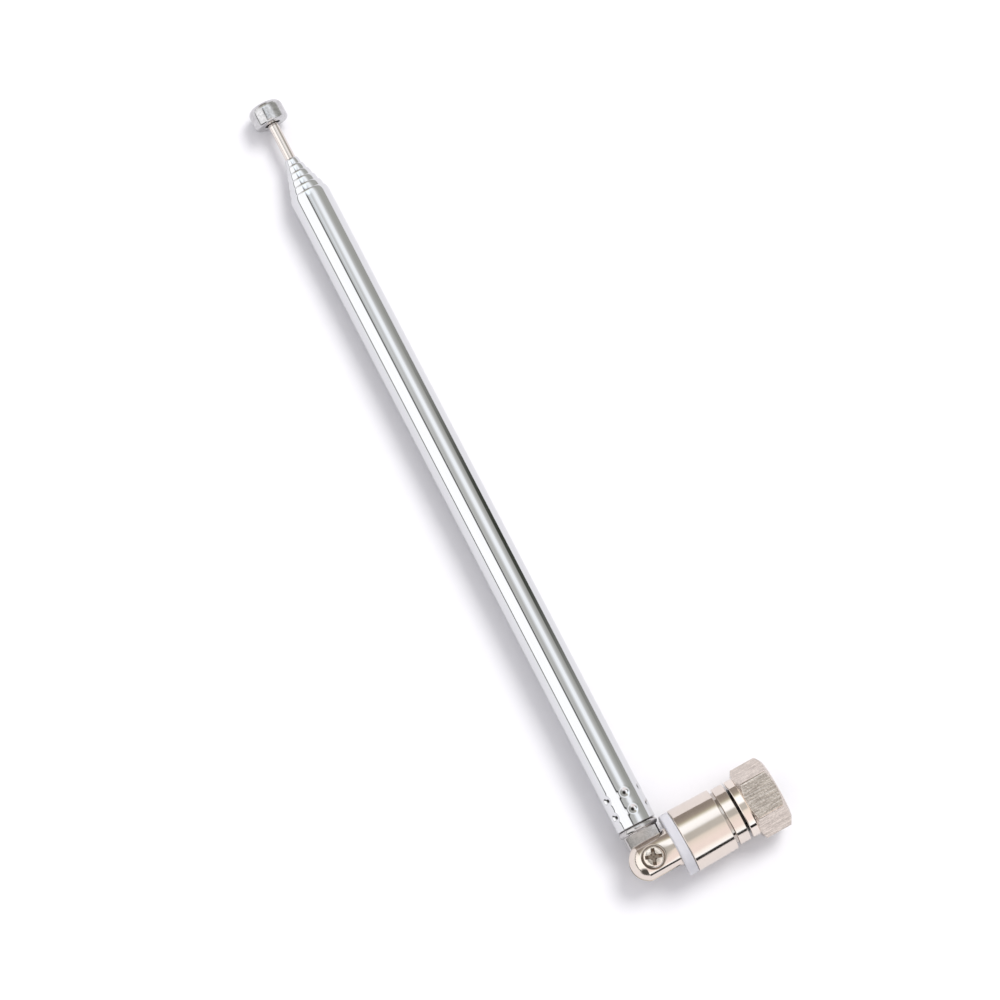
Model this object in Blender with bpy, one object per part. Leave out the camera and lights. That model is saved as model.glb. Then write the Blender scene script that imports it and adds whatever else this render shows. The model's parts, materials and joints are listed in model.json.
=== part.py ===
"""Telescopic whip antenna with an elbow joint and a screw-on 75 ohm plug.

Frame: the origin is the centre of the plug's mating face. +X points out of the plug's mouth,
+Y along the mast towards its knob, and +Z up, with the antenna lying on its side.
Every size is in metres; MM turns millimetres into metres.
"""

import math

import bmesh
import bpy
from mathutils import Vector

MM = 0.001

# Turned pieces have this many sides, so that nested ones keep their clearance.
SIDES = 24
THIN_SIDES = 12

# --- Driving dimensions -------------------------------------------------------------------
# Plug, measured from the mating face; negative is towards the elbow.
HEX_ACROSS_FLATS = 11.1 * MM
NUT_FRONT = 5.0 * MM
HEX_BACK = -0.95 * MM
NUT_BACK = -2.25 * MM
NECK_R = 5.2 * MM
THREAD_PITCH = 25.4 / 32 * MM
THREAD_MINOR_R = 4.33 * MM
THREAD_DEPTH = 0.43 * MM
SPIGOT_R = 3.85 * MM
SPIGOT_BORE_R = 3.0 * MM
SNAP_GROOVE_R = 3.45 * MM
SNAP_GROOVE = (-1.15 * MM, -0.7 * MM)
SHELL_FRONT = -2.68 * MM
SHELL_BACK = -12.65 * MM
SHELL_BACK_R = 5.65 * MM
SHELL_FRONT_R = 5.48 * MM
SHELL_GROOVE = (-5.2 * MM, -4.65 * MM)
SHELL_GROOVE_R = 4.7 * MM
SHELL_BORE_R = 4.4 * MM
SHELL_BORE_END = -5.7 * MM
COLLAR_BACK = -14.4 * MM
COLLAR_FRONT = -12.7 * MM
COLLAR_R = 5.53 * MM
PIN_R = 0.5 * MM
PIN_TIP = 4.5 * MM

# Elbow, measured from the pivot.
PIVOT_X = -18.3 * MM
FORK_R = 3.45 * MM
FORK_NOSE = (-0.82 * MM, 3.63 * MM)  # centre and radius of the domed end
SLOT_HALF = 1.45 * MM
SLOT_FLOOR = 3.45 * MM
STEM_R = 2.4 * MM
STEM_START = 4.55 * MM
STEM_END = 9.6 * MM
CLIP_GROOVE = (8.75 * MM, 9.15 * MM)
CLIP_GROOVE_R = 2.0 * MM
SCREW_R = 1.0 * MM
SCREW_HEAD_R = 1.85 * MM
SCREW_SEAT_R = 2.15 * MM
SCREW_SEAT = 2.0 * MM
SCREW_TOP = 3.4 * MM
SCREW_END = -2.7 * MM
MAST_LEAN = math.radians(2.0)

# Mast, measured along the mast from the pivot.
TONGUE_HALF = 1.4 * MM
TONGUE_R = 3.05 * MM
FLANGE = (4.9 * MM, 6.1 * MM)
FLANGE_R = 3.47 * MM
SHANK_END = 14.0 * MM
TUBE_R = 3.5 * MM
TUBE_WALL = 0.22 * MM
TUBE_FOOT = 6.15 * MM
TUBE_TOP = 126.2 * MM
SECTION_STEP = 0.435 * MM
SECTION_RISE = 1.3 * MM
SECTION_FOOT = 14.4 * MM
TUBE_SECTIONS = 5
MOUTH_GAP = 0.045 * MM
MOUTH_LIP = 0.1 * MM
MOUTH_LENGTH = 0.8 * MM
MOUTH_DOME = 1.2 * MM
FOOT_GAP = 0.03 * MM
FOOT_LENGTH = 1.2 * MM
SPRING_LENGTH = 6.0 * MM
ROD_TOP = 142.0 * MM
KNOB_R = 3.0 * MM
KNOB_FOOT = 139.5 * MM
KNOB_TOP = 143.2 * MM

# Small clearance between pieces that sit in each other, and the width of cutters.
FIT = 0.05 * MM
WIDE = 20.0 * MM

X = Vector((1, 0, 0))
Y = Vector((0, 1, 0))
Z = Vector((0, 0, 1))

# Finishes: colour, metallic, roughness.
CHROME = ((0.78, 0.79, 0.81), 1.0, 0.08)
NICKEL = ((0.72, 0.66, 0.58), 1.0, 0.22)
SATIN_NICKEL = ((0.64, 0.58, 0.51), 1.0, 0.36)
BRASS = ((0.72, 0.53, 0.26), 1.0, 0.30)
BRONZE = ((0.60, 0.38, 0.22), 1.0, 0.34)
STEEL = ((0.56, 0.56, 0.57), 1.0, 0.30)
WHITE_PLASTIC = ((0.80, 0.80, 0.83), 0.0, 0.42)


# --- Modelling helpers --------------------------------------------------------------------
def clear_scene():
    for obj in list(bpy.data.objects):
        bpy.data.objects.remove(obj, do_unlink=True)


def joint_empty(name, location, parent=None, turn_z=0.0):
    """An empty on a joint's axis, which carries the pieces that the joint moves."""
    empty = bpy.data.objects.new(name, None)
    empty.location = location
    empty.rotation_euler = (0.0, 0.0, turn_z)
    empty.parent = parent
    bpy.context.collection.objects.link(empty)
    return empty


def coat(obj, finish):
    """Give the object a Principled material of its own."""
    colour, metallic, roughness = finish
    material = bpy.data.materials.new(obj.name + "_finish")
    material.use_nodes = True
    shader = material.node_tree.nodes["Principled BSDF"]
    shader.inputs["Base Color"].default_value = (*colour, 1.0)
    shader.inputs["Metallic"].default_value = metallic
    shader.inputs["Roughness"].default_value = roughness
    obj.data.materials.append(material)


def make_object(name, bm, finish=None, parent=None):
    """Turn a bmesh into an object; without a finish it is a cutter."""
    bmesh.ops.recalc_face_normals(bm, faces=bm.faces[:])
    mesh = bpy.data.meshes.new(name)
    bm.to_mesh(mesh)
    bm.free()
    mesh.shade_smooth()
    mesh.set_sharp_from_angle(angle=math.radians(25))
    obj = bpy.data.objects.new(name, mesh)
    obj.parent = parent
    bpy.context.collection.objects.link(obj)
    if finish:
        coat(obj, finish)
    else:
        obj.hide_render = True
        obj.display_type = "WIRE"
    return obj


def skin_rings(rings, closed=False):
    """Join rings of equally many points, as a closed loop or with a cap on each end."""
    bm = bmesh.new()
    loops = [[bm.verts.new(point) for point in ring] for ring in rings]
    following = loops[1:] + loops[:1] if closed else loops[1:]
    for loop, after in zip(loops, following):
        for i in range(len(loop)):
            j = (i + 1) % len(loop)
            bm.faces.new((loop[i], loop[j], after[j], after[i]))
    if not closed:
        bm.faces.new(loops[0])
        bm.faces.new(loops[-1])
    return bm


def circle(centre, radius, first, second, sides=SIDES):
    """Points round a circle in the plane of two unit vectors."""
    points = []
    for i in range(sides):
        angle = math.tau * i / sides
        points.append(centre + radius * (math.cos(angle) * first + math.sin(angle) * second))
    return points


def turned(name, outline, axis, finish=None, parent=None, hollow=False, sides=SIDES):
    """A turned piece. The outline holds (distance along the axis, radius) pairs.

    A hollow piece's outline closes on itself; another's ends are capped with flat discs.
    """
    first = X if axis == Z else Z
    second = axis.cross(first)
    rings = [circle(axis * along, radius, first, second, sides) for along, radius in outline]
    return make_object(name, skin_rings(rings, closed=hollow), finish, parent)


def split_ring(name, inner_r, outer_r, start, end, axis, finish, parent, gap_sides=1):
    """A ring of rectangular section with a gap of some of its sides."""
    second = axis.cross(Z)
    sections = []
    for i in range(SIDES - gap_sides + 1):
        angle = math.tau * (i + gap_sides) / SIDES
        out = math.cos(angle) * Z + math.sin(angle) * second
        corners = ((start, inner_r), (end, inner_r), (end, outer_r), (start, outer_r))
        sections.append([axis * along + out * radius for along, radius in corners])
    return make_object(name, skin_rings(sections), finish, parent)


def prism(name, outline, low, high, taper=1.0, finish=None, parent=None):
    """An outline of (x, y) points pulled from one height to another, narrowed by taper below."""
    bottom = [Vector((x * taper, y * taper, low)) for x, y in outline]
    top = [Vector((x, y, high)) for x, y in outline]
    return make_object(name, skin_rings([bottom, top]), finish, parent)


def box(name, low, high, parent=None):
    outline = ((low[0], low[1]), (high[0], low[1]), (high[0], high[1]), (low[0], high[1]))
    return prism(name, outline, low[2], high[2], parent=parent)


def shape(obj, cutter, operation="DIFFERENCE"):
    modifier = obj.modifiers.new(cutter.name, "BOOLEAN")
    modifier.operation = operation
    modifier.solver = "EXACT"
    modifier.object = cutter


def arc(centre, radius, start_deg, end_deg, steps):
    """Points on an arc, as (first, second) coordinate pairs."""
    points = []
    for i in range(steps + 1):
        angle = math.radians(start_deg + (end_deg - start_deg) * i / steps)
        points.append((centre[0] + radius * math.cos(angle), centre[1] + radius * math.sin(angle)))
    return points


# --- Plug ---------------------------------------------------------------------------------
def plug_shell():
    edge = 0.15 * MM
    step = 5.2 * MM
    groove_back, groove_front = SHELL_GROOVE
    snap_back, snap_front = SNAP_GROOVE
    outline = [
        (SHELL_BACK, SHELL_BORE_R),
        (SHELL_BACK, SHELL_BACK_R - edge),
        (SHELL_BACK + edge, SHELL_BACK_R),
        (groove_back - edge, SHELL_FRONT_R),
        (groove_back, SHELL_GROOVE_R),
        (groove_front, SHELL_GROOVE_R),
        (groove_front, step - edge),
        (groove_front + edge, step),
        (SHELL_FRONT - edge, step),
        (SHELL_FRONT, step - edge),
        (SHELL_FRONT, SPIGOT_R),
        (snap_back, SPIGOT_R),
        (snap_back, SNAP_GROOVE_R),
        (snap_front, SNAP_GROOVE_R),
        (snap_front, SPIGOT_R),
        (0.0, SPIGOT_R),
        (0.0, SPIGOT_BORE_R),
        (SHELL_BORE_END, SPIGOT_BORE_R),
        (SHELL_BORE_END, SHELL_BORE_R),
    ]
    turned("plug_shell", outline, X, NICKEL, hollow=True)


def insulator_collar():
    """White bush that keeps the elbow apart from the shell; the stem turns in its bore."""
    edge = 0.2 * MM
    counterbore_r = FORK_R + 0.12 * MM
    counterbore_end = PIVOT_X + STEM_START + 2 * FIT
    spigot_end = -10.3 * MM
    spigot_r = SHELL_BORE_R - 0.07 * MM
    bore_r = STEM_R + 0.12 * MM
    outline = [
        (COLLAR_BACK, counterbore_r),
        (COLLAR_BACK, COLLAR_R - edge),
        (COLLAR_BACK + edge, COLLAR_R),
        (COLLAR_FRONT, COLLAR_R),
        (COLLAR_FRONT, spigot_r),
        (spigot_end, spigot_r),
        (spigot_end, bore_r),
        (counterbore_end, bore_r),
        (counterbore_end, counterbore_r),
    ]
    turned("insulator_collar", outline, X, WHITE_PLASTIC, hollow=True)


def pin_insulator():
    front = -0.3 * MM
    flange_back = SHELL_BORE_END - 0.7 * MM
    flange_r = SHELL_BORE_R - 2 * FIT
    body_r = SPIGOT_BORE_R - FIT
    bore_r = PIN_R + FIT
    outline = [
        (flange_back, bore_r),
        (flange_back, flange_r),
        (SHELL_BORE_END - FIT, flange_r),
        (SHELL_BORE_END - FIT, body_r),
        (front, body_r),
        (front, bore_r),
    ]
    turned("pin_insulator", outline, X, WHITE_PLASTIC, hollow=True)


def centre_pin():
    head_front = SHELL_BORE_END - 0.75 * MM
    head_back = head_front - 0.6 * MM
    head_r = 1.3 * MM
    nose = 0.35 * MM
    outline = [
        (head_back, head_r),
        (head_front, head_r),
        (head_front, PIN_R),
        (PIN_TIP - nose, PIN_R),
        (PIN_TIP - nose / 3, PIN_R * 0.75),
        (PIN_TIP, PIN_R * 0.3),
    ]
    turned("centre_pin", outline, X, BRASS, sides=THIN_SIDES)
    return head_back


def contact_spring(pin_back):
    """Coil between the elbow's stem and the pin."""
    wire_r = 0.13 * MM
    coil_r = 0.9 * MM
    turns = 2.5
    wire_sides = 6
    start = PIVOT_X + STEM_END + wire_r + FIT
    end = pin_back - wire_r - FIT
    steps = int(turns * THIN_SIDES)
    rise = (end - start) / (math.tau * turns)
    rings = []
    for i in range(steps + 1):
        angle = math.tau * turns * i / steps
        out = math.cos(angle) * Z - math.sin(angle) * Y
        along = -math.sin(angle) * Z - math.cos(angle) * Y
        run = (along * coil_r + X * rise).normalized()
        centre = X * (start + rise * angle) + out * coil_r
        rings.append(circle(centre, wire_r, out, run.cross(out), wire_sides))
    make_object("contact_spring", skin_rings(rings), STEEL)


def nut_snap_ring():
    back, front = SNAP_GROOVE
    split_ring("nut_snap_ring", SNAP_GROOVE_R + FIT, SPIGOT_R + 0.35 * MM,
               back + FIT, front - 2 * FIT, X, BRONZE, None, gap_sides=3)


# --- Coupling nut -------------------------------------------------------------------------
def thread_depth_at(along, angle):
    """Depth of the right-hand triangular thread at a place in the nut's bore."""
    turn = (along / THREAD_PITCH + angle / math.tau) % 1.0
    return THREAD_DEPTH * (1.0 - abs(2.0 * turn - 1.0))


def coupling_nut(parent):
    edge = 0.15 * MM
    envelope_r = HEX_ACROSS_FLATS / math.sqrt(3.0) + 0.15 * MM
    front_r = 5.15 * MM
    chamfer = math.tan(math.radians(32))
    lip_r = SPIGOT_R + 0.12 * MM
    lip_end = -1.4 * MM
    thread_start = lip_end + 0.1 * MM
    mouth = 0.4 * MM
    thread_end = NUT_FRONT - mouth
    rows = int((thread_end - thread_start) / THREAD_PITCH * 4)
    outline = [
        (NUT_BACK, lip_r),
        (NUT_BACK, NECK_R - edge),
        (NUT_BACK + edge, NECK_R),
        (HEX_BACK, NECK_R),
        (HEX_BACK + (envelope_r - NECK_R) * chamfer, envelope_r),
        (NUT_FRONT - (envelope_r - front_r) * chamfer, envelope_r),
        (NUT_FRONT, front_r),
        (NUT_FRONT, THREAD_MINOR_R + THREAD_DEPTH),
    ]
    for i in range(rows + 1):
        outline.append((thread_end + (thread_start - thread_end) * i / rows, THREAD_MINOR_R))
    outline.append((lip_end, THREAD_MINOR_R))
    outline.append((lip_end, lip_r))
    nut = turned("coupling_nut", outline, X, SATIN_NICKEL, parent, hollow=True)
    for vertex in nut.data.vertices:
        radius = math.hypot(vertex.co.y, vertex.co.z)
        on_thread = abs(radius - THREAD_MINOR_R) < 1e-6 and thread_start < vertex.co.x < thread_end
        if on_thread:
            depth = thread_depth_at(vertex.co.x, math.atan2(vertex.co.y, vertex.co.z))
            vertex.co.y *= (radius + depth) / radius
            vertex.co.z *= (radius + depth) / radius
    hexagon = turned("hexagon_cutter", [(-WIDE, HEX_ACROSS_FLATS / math.sqrt(3.0)),
                                        (WIDE, HEX_ACROSS_FLATS / math.sqrt(3.0))],
                     X, parent=parent, sides=6)
    hexagon.rotation_euler = (math.radians(30), 0.0, 0.0)
    shape(nut, hexagon, "INTERSECT")


# --- Elbow --------------------------------------------------------------------------------
def elbow_fork(parent):
    """Round bar with a slot for the tongue, and a stem that turns in the collar."""
    groove_back, groove_front = CLIP_GROOVE
    nose_edge = 0.25 * MM
    nose_centre, nose_r = FORK_NOSE
    widest = 180 - math.degrees(math.asin(FORK_R / nose_r))
    nose = arc((nose_centre, 0.0), nose_r, 176, widest, 7)
    outline = nose + [
        (STEM_START, FORK_R),
        (STEM_START, STEM_R),
        (groove_back, STEM_R),
        (groove_back, CLIP_GROOVE_R),
        (groove_front, CLIP_GROOVE_R),
        (groove_front, STEM_R),
        (STEM_END - nose_edge, STEM_R),
        (STEM_END, STEM_R - nose_edge),
    ]
    fork = turned("elbow_fork", outline, X, NICKEL, parent)
    slot = box("slot_cutter", (-WIDE, -WIDE, -SLOT_HALF), (SLOT_FLOOR, WIDE, SLOT_HALF), parent)
    seat = turned("screw_seat_cutter", [(SCREW_SEAT, SCREW_SEAT_R), (WIDE, SCREW_SEAT_R)], Z, parent=parent)
    hole = turned("screw_hole_cutter", [(-WIDE, SCREW_R + 2 * FIT), (WIDE, SCREW_R + 2 * FIT)],
                  Z, parent=parent)
    for cutter in (slot, seat, hole):
        shape(fork, cutter)


def pivot_screw(parent):
    """Pan head screw through both cheeks and the tongue."""
    head_base = SCREW_SEAT + FIT
    head_side = head_base + 0.75 * MM
    point = 0.3 * MM
    outline = [
        (SCREW_END, SCREW_R - point),
        (SCREW_END + point, SCREW_R),
        (head_base, SCREW_R),
        (head_base, SCREW_HEAD_R),
        (head_side, SCREW_HEAD_R),
        (SCREW_TOP - 0.2 * MM, SCREW_HEAD_R * 0.85),
        (SCREW_TOP - 0.05 * MM, SCREW_HEAD_R * 0.6),
        (SCREW_TOP, SCREW_HEAD_R * 0.3),
    ]
    screw = turned("pivot_screw", outline, Z, STEEL, parent)
    arm = 1.35 * MM
    half = 0.26 * MM
    depth = 0.8 * MM
    cross = [(arm, -half), (arm, half), (half, half), (half, arm), (-half, arm), (-half, half),
             (-arm, half), (-arm, -half), (-half, -half), (-half, -arm), (half, -arm), (half, -half)]
    recess = prism("cross_recess_cutter", cross, SCREW_TOP - depth, SCREW_TOP + depth,
                   taper=0.45, parent=parent)
    recess.rotation_euler = (0.0, 0.0, math.radians(-20))
    shape(screw, recess)


def swivel_washer(parent):
    """Wave washer that presses the elbow back against the collar."""
    thickness = 0.15 * MM
    middle = 8.4 * MM
    wave = 0.1 * MM
    inner_r = STEM_R + 0.12 * MM
    outer_r = 3.6 * MM
    corners = ((-1, inner_r), (1, inner_r), (1, outer_r), (-1, outer_r))
    sections = []
    for i in range(SIDES):
        angle = math.tau * i / SIDES
        out = math.cos(angle) * Z - math.sin(angle) * Y
        centre = middle + wave * math.cos(3 * angle)
        sections.append([X * (centre + side * thickness / 2) + out * r for side, r in corners])
    make_object("swivel_washer", skin_rings(sections, closed=True), STEEL, parent)


def swivel_clip(parent):
    back, front = CLIP_GROOVE
    split_ring("swivel_clip", CLIP_GROOVE_R + FIT, 3.4 * MM, back + FIT, front - FIT,
               X, STEEL, parent, gap_sides=5)


# --- Mast ---------------------------------------------------------------------------------
def hinge_tongue(parent):
    """Tongue with two flats, a bead flange, and the shank that the outer tube is crimped on."""
    flange_low, flange_high = FLANGE
    bead = (flange_high - flange_low) / 2
    shank_r = TUBE_R - TUBE_WALL - 0.06 * MM
    edge = 0.3 * MM
    outline = [(-TONGUE_R - FIT, TONGUE_R), (flange_low, TONGUE_R)]
    outline += arc((flange_low + bead, FLANGE_R - bead), bead, 165, 15, 5)
    outline += [
        (flange_high, shank_r),
        (SHANK_END - edge, shank_r),
        (SHANK_END, shank_r - edge),
    ]
    tongue = turned("hinge_tongue", outline, Y, CHROME, parent)
    shoulder = flange_low - 0.3 * MM
    upper = box("tongue_upper_cutter", (-WIDE, -WIDE, TONGUE_HALF), (WIDE, shoulder, WIDE), parent)
    lower = box("tongue_lower_cutter", (-WIDE, -WIDE, -WIDE), (WIDE, shoulder, -TONGUE_HALF), parent)
    end = arc((0.0, 0.0), TONGUE_R, 180, 360, 12)
    keep = end + [(WIDE, 0.0), (WIDE, WIDE), (-WIDE, WIDE), (-WIDE, 0.0)]
    rounding = prism("tongue_end_cutter", keep, -WIDE, WIDE, parent=parent)
    hole = turned("tongue_hole_cutter", [(-WIDE, SCREW_R + 2 * FIT), (WIDE, SCREW_R + 2 * FIT)],
                  Z, parent=parent)
    shape(tongue, upper)
    shape(tongue, lower)
    shape(tongue, rounding, "INTERSECT")
    shape(tongue, hole)


def drawn_tube(name, radius, foot, top, parent):
    """Thin tube whose top is drawn in, in a dome, round the next section."""
    bore_r = radius - TUBE_WALL
    mouth_r = radius - SECTION_STEP + MOUTH_GAP
    lip_r = mouth_r + MOUTH_LIP
    steps = 4
    outline = [(foot, bore_r), (foot, radius)]
    for i in range(steps + 1):
        angle = math.pi / 2 * i / steps
        outline.append((top - MOUTH_DOME * (1 - math.sin(angle)),
                        lip_r + (radius - lip_r) * math.cos(angle)))
    outline += [
        (top, mouth_r),
        (top - MOUTH_LENGTH, mouth_r),
        (top - MOUTH_LENGTH - 0.3 * MM, bore_r),
    ]
    return turned(name, outline, Y, CHROME, parent, hollow=True)


def outer_tube(parent):
    """Widest tube, crimped on the shank with two rows of dents."""
    tube = drawn_tube("outer_tube", TUBE_R, TUBE_FOOT, TUBE_TOP, parent)
    dents_per_row = 6
    dent_r = 1.1 * MM
    dent_depth = 0.14 * MM
    first_turn = math.radians(10)
    bm = bmesh.new()
    for height in (2.4 * MM, 5.45 * MM):
        for i in range(dents_per_row):
            angle = first_turn + math.tau * i / dents_per_row
            out = math.cos(angle) * Z + math.sin(angle) * X
            centre = Y * (TUBE_FOOT + height) + out * (TUBE_R + dent_r - dent_depth)
            ball = bmesh.ops.create_icosphere(bm, subdivisions=2, radius=dent_r)
            bmesh.ops.translate(bm, verts=ball["verts"], vec=centre)
    shape(tube, make_object("crimp_cutter", bm, parent=parent))


def slide_pieces(prefix, radius, parent):
    """Brass foot that stops a section coming out, and the split sleeve that gives it friction."""
    gap_r = SECTION_STEP - TUBE_WALL
    inner_r = radius + FOOT_GAP
    foot_r = radius + gap_r - 0.04 * MM
    sleeve_r = radius + gap_r - 0.06 * MM
    foot_top = SECTION_FOOT + FOOT_LENGTH
    foot = [(SECTION_FOOT, inner_r), (SECTION_FOOT, foot_r), (foot_top, foot_r), (foot_top, inner_r)]
    turned(prefix + "_foot", foot, Y, BRASS, parent, hollow=True)
    sleeve_low = foot_top + 2 * FIT
    split_ring(prefix + "_spring", inner_r, sleeve_r, sleeve_low, sleeve_low + SPRING_LENGTH,
               Y, BRONZE, parent)


def tube_section(number, parent):
    radius = TUBE_R - SECTION_STEP * number
    top = TUBE_TOP + SECTION_RISE * number
    prefix = f"section_{number}"
    drawn_tube(prefix + "_tube", radius, SECTION_FOOT, top, parent)
    slide_pieces(prefix, radius, parent)


def tip_section(parent):
    rod_r = TUBE_R - SECTION_STEP * (TUBE_SECTIONS + 1)
    turned("tip_rod", [(SECTION_FOOT, rod_r), (ROD_TOP, rod_r)], Y, CHROME, parent)
    slide_pieces("tip", rod_r, parent)
    rim = 0.3 * MM
    bore_r = rod_r + FIT
    recess_r = 1.35 * MM
    recess_top = KNOB_FOOT + 1.0 * MM
    outline = [
        (ROD_TOP + FIT, bore_r),
        (recess_top, bore_r),
        (recess_top, recess_r),
        (KNOB_FOOT, recess_r),
        (KNOB_FOOT, KNOB_R - rim),
        (KNOB_FOOT + rim, KNOB_R),
        (KNOB_TOP - 0.45 * MM, KNOB_R),
        (KNOB_TOP - 0.15 * MM, KNOB_R * 0.9),
        (KNOB_TOP - 0.05 * MM, KNOB_R * 0.6),
        (KNOB_TOP, KNOB_R * 0.25),
    ]
    turned("tip_knob", outline, Y, CHROME, parent)


def build():
    clear_scene()
    plug_shell()
    insulator_collar()
    pin_insulator()
    contact_spring(centre_pin())
    nut_snap_ring()
    coupling_nut(joint_empty("nut_axis", (0.0, 0.0, 0.0)))

    swivel = joint_empty("swivel_axis", (PIVOT_X, 0.0, 0.0))
    elbow_fork(swivel)
    pivot_screw(swivel)
    swivel_washer(swivel)
    swivel_clip(swivel)

    carrier = joint_empty("tilt_axis", (0.0, 0.0, 0.0), swivel, turn_z=-MAST_LEAN)
    hinge_tongue(carrier)
    outer_tube(carrier)
    for number in range(1, TUBE_SECTIONS + 1):
        carrier = joint_empty(f"slide_{number}_axis", (0.0, 0.0, 0.0), carrier)
        tube_section(number, carrier)
    tip_section(joint_empty("tip_slide_axis", (0.0, 0.0, 0.0), carrier))


build()
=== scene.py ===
"""Looks of a telescopic whip antenna with an elbow joint and a screw-on plug.

Every CAD node is replaced by a finely made piece in the same place. Pieces are made in three
local frames (plug, elbow, mast) whose +Z runs along the piece's own axis.
"""

import json
import math

import bmesh
import bpy
from mathutils import Matrix, Vector


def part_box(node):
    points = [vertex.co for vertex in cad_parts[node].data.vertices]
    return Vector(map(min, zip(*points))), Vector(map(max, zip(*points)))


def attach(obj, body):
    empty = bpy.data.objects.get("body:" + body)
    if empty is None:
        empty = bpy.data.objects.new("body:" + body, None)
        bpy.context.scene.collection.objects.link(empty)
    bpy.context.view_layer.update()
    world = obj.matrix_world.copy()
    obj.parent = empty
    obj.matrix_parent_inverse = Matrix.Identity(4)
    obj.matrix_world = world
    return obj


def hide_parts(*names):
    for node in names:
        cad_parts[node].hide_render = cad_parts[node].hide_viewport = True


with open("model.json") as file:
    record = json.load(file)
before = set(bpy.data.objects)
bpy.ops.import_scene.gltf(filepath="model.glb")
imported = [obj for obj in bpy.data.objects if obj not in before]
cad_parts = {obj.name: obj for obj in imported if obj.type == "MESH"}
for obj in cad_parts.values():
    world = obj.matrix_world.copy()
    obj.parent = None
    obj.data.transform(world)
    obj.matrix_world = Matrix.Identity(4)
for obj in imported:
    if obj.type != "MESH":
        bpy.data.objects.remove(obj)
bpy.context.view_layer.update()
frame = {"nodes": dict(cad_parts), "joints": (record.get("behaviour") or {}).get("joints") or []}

MM = 0.001
# Facets round a turned piece and along a fillet.
SIDES = 128
FINE_SIDES = 240
ARC_STEPS = 6
# Distance of a supporting row from the end of a straight, and the width that merges corners.
SUPPORT = 0.03 * MM
MERGE = 1e-8
# Edges sharper than these are shaded flat, or rounded after a cut.
SHARP_ANGLE = math.radians(32)
BEVEL_ANGLE = math.radians(40)

# Places of the three local frames.
JOINTS = {joint["name"]: joint for joint in frame["joints"]}
PIVOT = Vector(JOINTS["mast_tilt"]["pos_m"])
LEAN = Vector(JOINTS["tip_slide"]["axis"]).normalized()


def local_frame(origin, along):
    """Matrix of a frame whose Z is along the given direction and whose X is up."""
    up = Vector((0.0, 0.0, 1.0))
    side = along.cross(up)
    axes = Matrix((up, side, along)).transposed()
    return Matrix.Translation(origin) @ axes.to_4x4()


PLUG = local_frame(Vector((0.0, 0.0, 0.0)), Vector((1.0, 0.0, 0.0)))
ELBOW = local_frame(PIVOT, Vector((1.0, 0.0, 0.0)))
MAST = local_frame(PIVOT, LEAN)
SCREW = Matrix.Translation(PIVOT)


def reach(node, place):
    """Lowest and highest place of a CAD node along a frame's axis, and its largest radius."""
    inverse = place.inverted()
    points = [inverse @ vertex.co for vertex in frame["nodes"][node].data.vertices]
    heights = [point.z for point in points]
    return min(heights), max(heights), max(math.hypot(point.x, point.y) for point in points)


# --- Meshes -------------------------------------------------------------------------------
def rounded(corners, closed):
    """Outline of (along, radius, fillet) corners as points, with each corner's fillet drawn."""
    count = len(corners)
    points = []
    for i, corner in enumerate(corners):
        here = Vector(corner[:2])
        fillet = corner[2] if len(corner) > 2 else 0.0
        end = not closed and i in (0, count - 1)
        if end or fillet <= 0.0:
            points.append(here)
            continue
        before = Vector(corners[i - 1][:2]) - here
        after = Vector(corners[(i + 1) % count][:2]) - here
        half = before.angle(after) / 2
        tangent = min(fillet / math.tan(half), 0.48 * before.length, 0.48 * after.length)
        radius = tangent * math.tan(half)
        start = here + before.normalized() * tangent
        stop = here + after.normalized() * tangent
        centre = here + (before.normalized() + after.normalized()).normalized() * (
            radius / math.sin(half))
        for step in range(ARC_STEPS + 1):
            blend = start.lerp(stop, step / ARC_STEPS) - centre
            points.append(centre + blend.normalized() * radius)
    return supported(points, closed)


def supported(points, closed):
    """Add a point close to each end of a long straight, so that shading stays on the fillets."""
    result = []
    last = len(points) if closed else len(points) - 1
    for i in range(last):
        here, there = points[i], points[(i + 1) % len(points)]
        result.append(here)
        length = (there - here).length
        if length > 4 * SUPPORT:
            result.append(here.lerp(there, SUPPORT / length))
            result.append(there.lerp(here, SUPPORT / length))
    if not closed:
        result.append(points[-1])
    return result


def new_piece(name, vertices, faces, place, material, finish_slot):
    """An object of these faces, with its material. Cutters have none."""
    mesh = bpy.data.meshes.new(name)
    mesh.from_pydata(vertices, [], faces)
    tidy = bmesh.new()
    tidy.from_mesh(mesh)
    bmesh.ops.remove_doubles(tidy, verts=tidy.verts[:], dist=MERGE)
    bmesh.ops.recalc_face_normals(tidy, faces=tidy.faces[:])
    tidy.to_mesh(mesh)
    tidy.free()
    mesh.shade_smooth()
    mesh.set_sharp_from_angle(angle=SHARP_ANGLE)
    piece = bpy.data.objects.new(name, mesh)
    piece.matrix_world = place
    bpy.context.collection.objects.link(piece)
    if material:
        mesh.materials.append(material)
    return piece


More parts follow.
